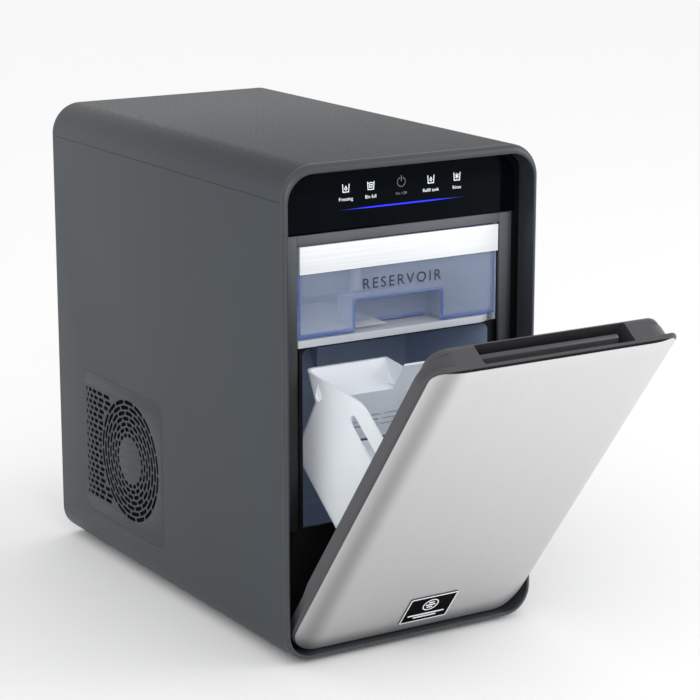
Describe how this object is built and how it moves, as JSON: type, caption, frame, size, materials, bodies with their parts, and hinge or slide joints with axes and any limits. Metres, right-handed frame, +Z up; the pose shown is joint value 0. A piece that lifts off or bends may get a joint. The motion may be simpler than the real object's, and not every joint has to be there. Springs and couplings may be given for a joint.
{
  "type": "countertop nugget ice maker",
  "caption": "Countertop ice maker with a rounded grey cabinet, a tilt-down brushed steel door carrying the ice bucket, and a slide-out clear water tank under a touch panel.",
  "frame": {"origin": "on the ground, under the centre of the overall box with the door open at its stop", "axes": "+X to the object's right seen from the front, +Y to its back, +Z up; the door faces -Y"},
  "size_m": [0.2574, 0.6532, 0.433],
  "materials": {
    "cabinet_grey": "satin",
    "ring_grey": "satin",
    "black_plastic": "satin",
    "panel_glass": "gloss",
    "indicator_blue": "gloss",
    "circuit_board": "satin",
    "liner_blue": "satin",
    "shelf_grey": "satin",
    "foam": "matte",
    "white_plastic": "satin",
    "tank_blue": "gloss",
    "bar_white": "gloss",
    "door_steel": "brushed",
    "door_plastic": "satin",
    "rubber": "matte",
    "zinc_steel": "satin",
    "stainless": "satin",
    "copper": "satin",
    "aluminium_fins": "satin",
    "compressor_black": "satin"
  },
  "bodies": {
    "cabinet": {"front_ring": "ring_grey", "top_cover": "cabinet_grey", "side_panel_left": "cabinet_grey", "vent_grille_left": "cabinet_grey", "strike_plate_left": "zinc_steel", "hinge_pin_left": "zinc_steel", "foot_front_left": "rubber", "foot_rear_left": "rubber", "side_panel_right": "cabinet_grey", "vent_grille_right": "cabinet_grey", "strike_plate_right": "zinc_steel", "hinge_pin_right": "zinc_steel", "foot_front_right": "rubber", "foot_rear_right": "rubber", "back_panel": "cabinet_grey", "base_pan": "zinc_steel", "inner_fascia": "ring_grey", "front_bulkhead": "black_plastic", "control_glass": "panel_glass", "light_bar": "indicator_blue", "control_board": "circuit_board", "tank_bay_liner": "liner_blue", "tank_shelf": "shelf_grey", "bucket_bay_liner": "liner_blue", "insulation_jacket": "foam", "ice_chute": "liner_blue", "valve_seat": "white_plastic", "water_reservoir": "shelf_grey", "water_pump": "black_plastic", "feed_tube": "rubber", "compressor": "compressor_black", "compressor_bracket": "zinc_steel", "condenser": "aluminium_fins", "fan_shroud": "black_plastic", "fan_motor": "zinc_steel", "evaporator_barrel": "foam", "extruder_head": "stainless", "gear_motor": "zinc_steel", "suction_line": "copper", "discharge_line": "copper", "filter_drier": "copper", "main_board_box": "black_plastic", "power_inlet": "black_plastic", "drain_outlet": "black_plastic"},
    "door": {"door_frame": "door_plastic", "door_steel_panel": "door_steel", "door_back_panel": "door_plastic", "badge_plate": "panel_glass", "handle_lip": "door_plastic", "door_magnet_left": "zinc_steel", "door_magnet_right": "zinc_steel"},
    "bucket": {"ice_bucket": "white_plastic"},
    "tank": {"tank_body": "tank_blue", "tank_front_bar": "bar_white", "tank_valve": "white_plastic"},
    "fan": {"fan_rotor": "black_plastic"},
    "auger_drive": {"auger": "stainless"},
    "cap": {"drain_cap": "rubber"}
  },
  "joints": [
    {"name": "door_tilt", "type": "hinge", "parent": "cabinet", "child": "door", "pos_m": [0, -0.11186, 0.03436], "axis": [-1, 0, 0], "range_deg": [0, 37]},
    {"name": "bucket_lift", "type": "slide", "parent": "door", "child": "bucket", "axis": [0, -0.515, 0.8572], "range_m": [0, 0.34]},
    {"name": "tank_slide", "type": "slide", "parent": "cabinet", "child": "tank", "axis": [0, -1, 0], "range_m": [0, 0.172]},
    {"name": "fan_spin", "type": "hinge", "parent": "cabinet", "child": "fan", "pos_m": [-0.0887, 0.1753, 0.114], "axis": [1, 0, 0], "continuous": true},
    {"name": "auger_spin", "type": "hinge", "parent": "cabinet", "child": "auger_drive", "pos_m": [-0.03, 0.1076, 0.24], "axis": [0, 0, 1], "continuous": true},
    {"name": "drain_cap_pull", "type": "slide", "parent": "cabinet", "child": "cap", "axis": [0, 1, 0], "range_m": [0, 0.03]}
  ]
}
